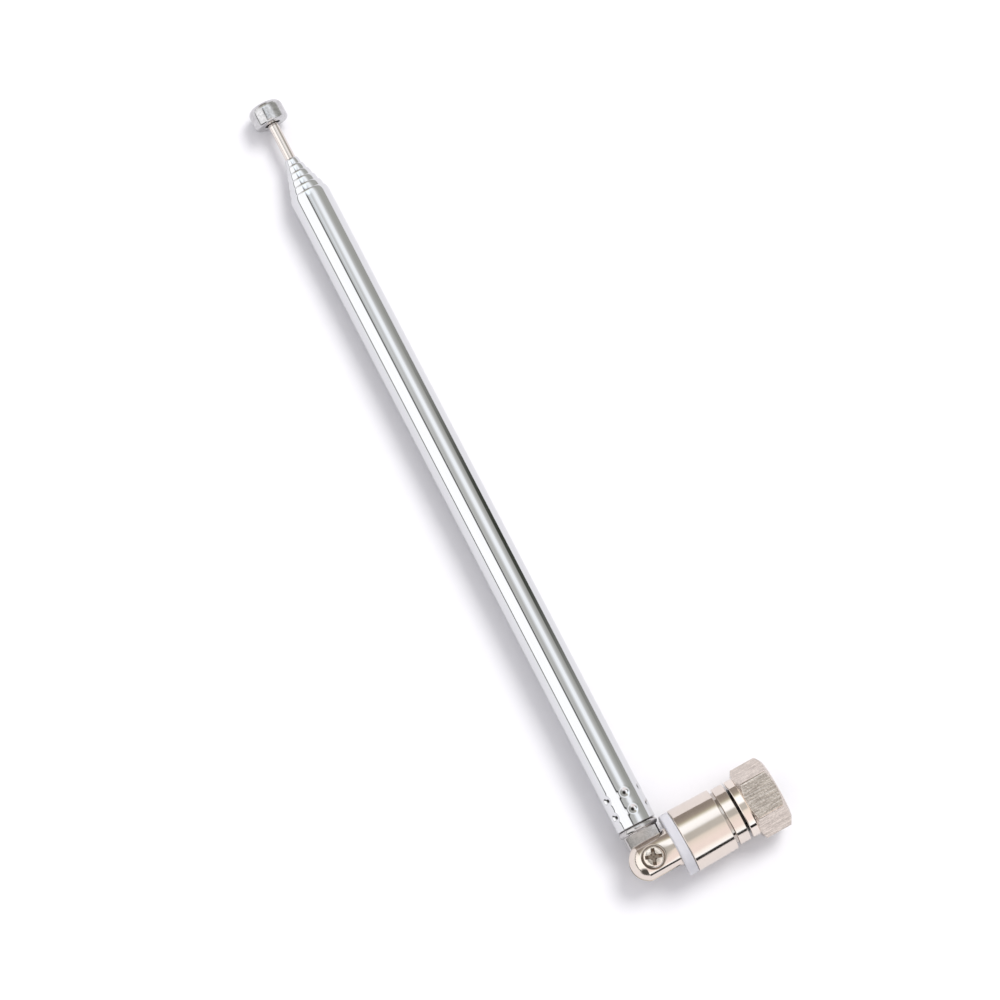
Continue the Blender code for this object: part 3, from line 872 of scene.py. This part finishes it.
def dent_depth(along, angle):
    """Depth of the crimp's punch marks, with their raised rims, above the tube's foot."""
    depth = 0.0
    turn = (angle - DENT_FIRST + DENT_SPACING / 2) % DENT_SPACING - DENT_SPACING / 2
    for row in DENT_ROWS:
        away = math.hypot(along - row, turn * OUTER_TUBE_R) / DENT_R
        if away < RIM_END:
            cone = max(0.0, 1.0 - away)
            bowl = cone * cone * (3 - 2 * cone)
            depth += DENT_DEPTH * (DENT_POINT * cone + (1.0 - DENT_POINT) * bowl)
            depth -= RIM_HEIGHT * math.exp(-((away - RIM_AWAY) / RIM_WIDTH) ** 2)
    return depth


def hinge_tongue():
    """Flat tongue in the fork, the bead under the tube, and the dented shank inside it."""
    low, high, _ = reach("hinge_tongue", MAST)
    tongue_r, half = 3.05 * MM, 1.4 * MM
    flange_low, flange_high, flange_r = 4.9 * MM, 6.1 * MM, 3.47 * MM
    shank_r = 3.22 * MM
    bead = (flange_high - flange_low) / 2
    corners = [(low - 0.2 * MM, tongue_r), (flange_low, tongue_r, 0.05 * MM)]
    for i in range(13):
        angle = math.radians(165 - 150 * i / 12)
        corners.append((flange_low + bead + bead * math.cos(angle),
                        flange_r - bead + bead * math.sin(angle)))
    foot = reach("outer_tube", MAST)[0]
    corners.append((flange_high, shank_r))
    rows = 60
    corners += [(foot + CRIMP_LENGTH * i / rows, shank_r) for i in range(rows + 1)]
    corners += [(high, shank_r, 0.3 * MM), (high, shank_r * 0.5)]

    def relief(along, angle, radius):
        return radius - (dent_depth(along - foot, angle) if along > foot else 0.0)

    piece = turned("tongue", corners, MAST, TONGUE_CHROME, sides=180, relief=relief)
    shoulder = flange_low - 0.08 * MM
    upper = block("upper_cutter", (half, -WIDE, -WIDE), (WIDE, WIDE, shoulder), MAST)
    lower = block("lower_cutter", (-WIDE, -WIDE, -WIDE), (-half, WIDE, shoulder), MAST)
    end = [(tongue_r * math.cos(math.pi + math.pi * i / 48),
            tongue_r * math.sin(math.pi + math.pi * i / 48)) for i in range(49)]
    keep = end + [(WIDE, 0.0), (WIDE, WIDE), (-WIDE, WIDE), (-WIDE, 0.0)]
    upright = SCREW @ Matrix.Rotation(math.atan2(-LEAN.x, LEAN.y), 4, "Z")
    rounding = extruded("end_cutter", keep, -WIDE, WIDE, upright)
    hole = turned("hole_cutter", [(-WIDE, SCREW_HOLE_R), (WIDE, SCREW_HOLE_R)], SCREW, sides=64)
    carve(piece, [(upper, "DIFFERENCE"), (lower, "DIFFERENCE"), (rounding, "INTERSECT"),
                  (hole, "DIFFERENCE")], edge=0.05 * MM)
    place_on(piece, "mast", "hinge_tongue")


def mouth(top, radius):
    """The domed mouth of a tube, closed in round the next section, as outline corners."""
    mouth_r = radius - SECTION_STEP + 0.045 * MM
    lip_r = mouth_r + 0.08 * MM
    steps = 14
    corners = []
    for i in range(steps + 1):
        angle = math.pi / 2 * i / steps
        corners.append((top - MOUTH_DOME * (1 - math.sin(angle)),
                        lip_r + (radius - lip_r) * math.cos(angle)))
    return corners + [
        (top, mouth_r, 0.03 * MM),
        (top - 0.8 * MM, mouth_r, 0.05 * MM),
        (top - 1.1 * MM, radius - TUBE_WALL, 0.1 * MM),
    ]


def outer_tube():
    """Widest tube, dented at its foot and closed in at its mouth."""
    foot, top, radius = reach("outer_tube", MAST)
    bore_r = radius - TUBE_WALL
    rows = 92
    crimp = [CRIMP_LENGTH * i / rows for i in range(1, rows + 1)]
    corners = [(foot + height, bore_r) for height in reversed(crimp)]
    corners += [(foot, bore_r, 0.05 * MM), (foot, radius, 0.07 * MM)]
    corners += [(foot + height, radius) for height in crimp]
    corners += mouth(top, radius)

    def relief(along, angle, out):
        return out - (dent_depth(along - foot, angle) if along < foot + CRIMP_LENGTH else 0.0)

    piece = turned("tube_0", corners, MAST, DENTED_CHROME, closed=True, sides=FINE_SIDES,
                   relief=relief)
    place_on(piece, "mast", "outer_tube")


def slide_pieces(prefix, body, radius):
    """Brass foot that stops a section coming out, and the split sleeve that gives it friction."""
    inner_r = radius + 0.03 * MM
    low, high, foot_r = reach(prefix + "_foot", MAST)
    fine = 0.03 * MM
    corners = [(low, inner_r, fine), (low, foot_r, 0.08 * MM), (high, foot_r, fine),
               (high, inner_r, fine)]
    foot = turned(prefix + "_stop", corners, MAST, BRASS, closed=True, sides=96)
    place_on(foot, body, prefix + "_foot")
    split_ring(prefix + "_sleeve", prefix + "_spring", body, MAST, inner_r, BRONZE,
               math.tau / 24)


def tube_section(number):
    """One of the inner tubes, with its foot and sleeve."""
    node, body = f"section_{number}_tube", f"section_{number}"
    foot, top, radius = reach(node, MAST)
    corners = [(foot, radius - TUBE_WALL, 0.04 * MM), (foot, radius, 0.04 * MM)]
    piece = turned(f"tube_{number}", corners + mouth(top, radius), MAST, CHROME, closed=True)
    place_on(piece, body, node)
    slide_pieces(body, body, radius)


def tip_section():
    """Rod with its foot, sleeve and knob. The knob's underside is recessed round the rod."""
    foot, top, radius = reach("tip_rod", MAST)
    corners = [(foot, radius * 0.8), (foot, radius, 0.05 * MM), (top, radius, 0.05 * MM),
               (top, radius * 0.8)]
    rod = turned("rod", corners, MAST, WARM_CHROME, sides=96)
    place_on(rod, "tip", "tip_rod")
    slide_pieces("tip", "tip", radius)
    low, high, knob_r = reach("tip_knob", MAST)
    bore_r, recess_r, recess_top = radius + 0.05 * MM, 1.35 * MM, low + 1.0 * MM
    corners = [
        (top + 0.05 * MM, 0.3 * radius),
        (top + 0.05 * MM, bore_r),
        (recess_top, bore_r, 0.03 * MM),
        (recess_top, recess_r, 0.15 * MM),
        (low, recess_r, 0.12 * MM),
        (low, knob_r, 0.50 * MM),
        (high, knob_r, 1.25 * MM),
        (high, 0.2 * knob_r),
    ]
    knob = turned("knob", corners, MAST, WORN_CHROME, sides=160)
    place_on(knob, "tip", "tip_knob")


# --- Room ---------------------------------------------------------------------------------
# Camera, measured from the elbow's pivot.
CAMERA_FROM_PIVOT = Vector((-0.03399, -0.03674, 0.7339))
CAMERA_AIM = Vector((0.00706, 0.06448, 0.0))
CAMERA_TURN = math.radians(-29.36)
CAMERA_LENS = 160.0
FLOOR_SIZE = 3.0
KEY_FROM = Vector((0.62, 0.30, 1.0))
KEY_STRENGTH = 1.6
KEY_ANGLE = math.radians(24)


def camera():
    """The photo's camera, close over the mast."""
    data = bpy.data.cameras.new("camera")
    data.sensor_width = 36.0
    data.lens = CAMERA_LENS
    obj = bpy.data.objects.new("camera", data)
    bpy.context.collection.objects.link(obj)
    forward = (CAMERA_AIM - CAMERA_FROM_PIVOT).normalized()
    level = Vector((math.cos(CAMERA_TURN), math.sin(CAMERA_TURN), 0.0))
    right = (level - forward * level.dot(forward)).normalized()
    axes = Matrix((right, right.cross(forward), -forward)).transposed()
    obj.matrix_world = Matrix.Translation(PIVOT + CAMERA_FROM_PIVOT) @ axes.to_4x4()
    bpy.context.scene.camera = obj


def ground():
    """Large plain floor that touches the shell's belly and the mouth of the outer tube."""
    shell_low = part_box("plug_shell")[0].z
    tube_low, tube_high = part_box("outer_tube")
    slope = math.atan2(tube_low.z - shell_low, tube_high.y - MOUTH_DOME)
    half = FLOOR_SIZE / 2
    corners = [(-half, -half, 0.0), (half, -half, 0.0), (half, half, 0.0), (-half, half, 0.0)]
    place = Matrix.Translation((0.0, 0.0, shell_low)) @ Matrix.Rotation(slope, 4, "X")
    mesh = bpy.data.meshes.new("ground")
    mesh.from_pydata(corners, [], [(0, 1, 2, 3)])
    floor = bpy.data.objects.new("ground", mesh)
    floor.matrix_world = place
    floor.data.materials.append(paper())
    bpy.context.collection.objects.link(floor)


def key_light():
    """Soft main light from beyond the plug; the metals take their reflections from the room."""
    data = bpy.data.lights.new("key", "SUN")
    data.energy = KEY_STRENGTH
    data.angle = KEY_ANGLE
    data.color = (1.0, 0.995, 0.985)
    obj = bpy.data.objects.new("key", data)
    obj.rotation_euler = KEY_FROM.to_track_quat("Z", "Y").to_euler()
    obj.visible_glossy = False
    bpy.context.collection.objects.link(obj)


GREY = (0.66, 0.66, 0.64)
WHITE = (1.45, 1.45, 1.46)
COOL = (1.26, 1.29, 1.33)
SOFT = (0.72, 0.72, 0.71)
DIM = (0.52, 0.52, 0.49)
LINE = (0.03, 0.03, 0.03)
BEIGE = (1.19, 1.085, 1.08)
BRIGHT = (1.42, 1.50, 1.60)
TAUPE = (0.36, 0.325, 0.30)
BELOW = (0.75, 0.75, 0.76)
PALE = (1.15, 1.15, 1.17)

# What stands round the object on each side, as (degrees of tilt from overhead, colour).
ROOM = {
    "+x": [(0, GREY), (6, GREY), (14, (0.95, 0.96, 0.98)), (21, COOL), (33, COOL), (44, SOFT),
           (56, DIM), (96, DIM), (99, BELOW)],
    "-x": [(0, GREY), (12, GREY), (13, LINE), (17, LINE), (18.5, (1.0, 1.0, 1.0)), (22, WHITE),
           (73.5, WHITE), (74.5, LINE), (78.5, LINE), (79.5, PALE), (90, PALE), (99, BELOW)],
    "+y": [(0, GREY), (9, GREY), (17, BRIGHT), (40, BRIGHT), (46, (1.12, 1.16, 1.10)),
           (53, (0.62, 0.60, 0.50)), (60, (0.45, 0.41, 0.37)), (74, TAUPE), (90, TAUPE),
           (97, BELOW)],
    "-y": [(0, GREY), (8, GREY), (15, (1.10, 1.04, 0.98)), (40, BEIGE), (54, BEIGE),
           (62, (1.32, 1.30, 1.30)), (75, BRIGHT), (78, BRIGHT), (79.5, LINE), (91, LINE),
           (92, SOFT), (99, BELOW)],
}
# A dark opening on the +X side: the middle and width of its Y, and where it starts and ends as
# shares of half a turn of tilt.
WINDOW_Y = (0.098, 0.042)
WINDOW_START = (61.5 / 180, 67.5 / 180)
WINDOW_END = (95 / 180, 98 / 180)
WINDOW_COLOUR = (0.035, 0.040, 0.028)
# A dark shape high on the -X, -Y side, and the cosines of its soft edge.
DARK_SPOT = Vector((-0.68, -0.66, 0.30)).normalized()
SPOT_EDGE = (math.cos(math.radians(26)), math.cos(math.radians(15)))
SPOT_GREY = (0.10, 0.098, 0.094)
# How much the sides across the mast outweigh those along it, and the limits of a side's share.
ACROSS_MAST = 4.0
SHARE_LIMITS = (0.15, 0.85)
# Light that falls on matt surfaces, and how much more of it comes from the key light's side.
FILL = (0.87, 0.86, 0.892)
FILL_LEAN = 0.75
BACKDROP = (0.94, 0.945, 0.955)


def room():
    """World seen in the metals: a soft tent with gaps. The camera sees a plain backdrop."""
    world = bpy.data.worlds.new("room")
    bpy.context.scene.world = world
    graph = Graph(world)
    direction = graph.add("TexCoord").outputs["Generated"]
    x, y, z = graph.add("SeparateXYZ", {0: direction}).outputs

    def tilt_along(axis):
        """Tilt from overhead as a share of half a turn."""
        tilt = graph.math("ARCTAN2", graph.math("ABSOLUTE", axis), z)
        return graph.math("DIVIDE", tilt, math.pi)

    def side(name):
        """Colours of one side."""
        tilt = tilt_x if name.endswith("x") else tilt_y
        return graph.ramp(tilt, [(degrees / 180.0, colour) for degrees, colour in ROOM[name]])

    tilt_x, tilt_y = tilt_along(x), tilt_along(y)

    # The window is strongest opposite the middle of the mast.
    centre, width = WINDOW_Y
    offset = graph.math("DIVIDE", graph.math("SUBTRACT", y, centre), width)
    squared = graph.math("MULTIPLY", offset, offset)
    window = graph.math("EXPONENT", graph.math("MULTIPLY", squared, -1.0))
    started = graph.remap(tilt_x, 0.0, 1.0, *WINDOW_START)
    not_over = graph.remap(tilt_x, 1.0, 0.0, *WINDOW_END)
    opening = graph.math("MULTIPLY", graph.math("MULTIPLY", started, not_over), window)
    plus_x = graph.mix(opening, side("+x"), (*WINDOW_COLOUR, 1.0))

    # The four sides run into each other round the object.
    along_x = graph.mix(graph.math("GREATER_THAN", x, 0.0), side("-x"), plus_x)
    along_y = graph.mix(graph.math("GREATER_THAN", y, 0.0), side("-y"), side("+y"))
    xx = graph.math("MULTIPLY", graph.math("MULTIPLY", x, x), ACROSS_MAST)
    yy = graph.math("MULTIPLY", y, y)
    share = graph.math("DIVIDE", yy, graph.math("ADD", graph.math("ADD", xx, yy), 1e-6))
    share = graph.remap(share, 0.0, 1.0, *SHARE_LIMITS)
    seen = graph.mix(share, along_x, along_y)

    towards = graph.add("VectorMath", {0: direction, 1: DARK_SPOT}, operation="DOT_PRODUCT")
    near = graph.remap(towards.outputs["Value"], 0.0, 1.0, *SPOT_EDGE)
    seen = graph.mix(near, seen, (*SPOT_GREY, 1.0))

    rays = graph.add("LightPath").outputs
    from_key = graph.add("VectorMath", {0: direction, 1: (*KEY_FROM.xy, 0.0)},
                         operation="DOT_PRODUCT").outputs["Value"]
    level = graph.math("ADD", graph.math("MULTIPLY", from_key, FILL_LEAN), 1.0)
    fill = graph.add("VectorMath", {0: FILL, "Scale": level}, operation="SCALE").outputs[0]
    lighting = graph.mix(rays["Is Diffuse Ray"], seen, fill)
    colour = graph.mix(rays["Is Camera Ray"], lighting, (*BACKDROP, 1.0))
    background = graph.add("Background", {"Color": colour, "Strength": 1.0})
    output = graph.add("OutputWorld")
    graph.tree.links.new(background.outputs[0], output.inputs["Surface"])


def main():
    """Build every piece and the room round them."""
    plug_shell()
    insulator_collar()
    pin_insulator()
    centre_pin()
    contact_spring()
    snap_inner_r = SNAP_GROOVE[2] + 0.05 * MM
    split_ring("snap_ring", "nut_snap_ring", "plug", PLUG, snap_inner_r, BRONZE, math.tau / 8)
    coupling_nut()
    elbow_fork()
    pivot_screw()
    swivel_washer()
    split_ring("swivel_ring", "swivel_clip", "elbow", ELBOW, 2.05 * MM, SPRING,
               math.tau * 5 / 24)
    hinge_tongue()
    outer_tube()
    for number in range(1, 6):
        tube_section(number)
    tip_section()
    camera()
    ground()
    key_light()
    room()
    bpy.context.scene.view_settings.view_transform = "Standard"


main()
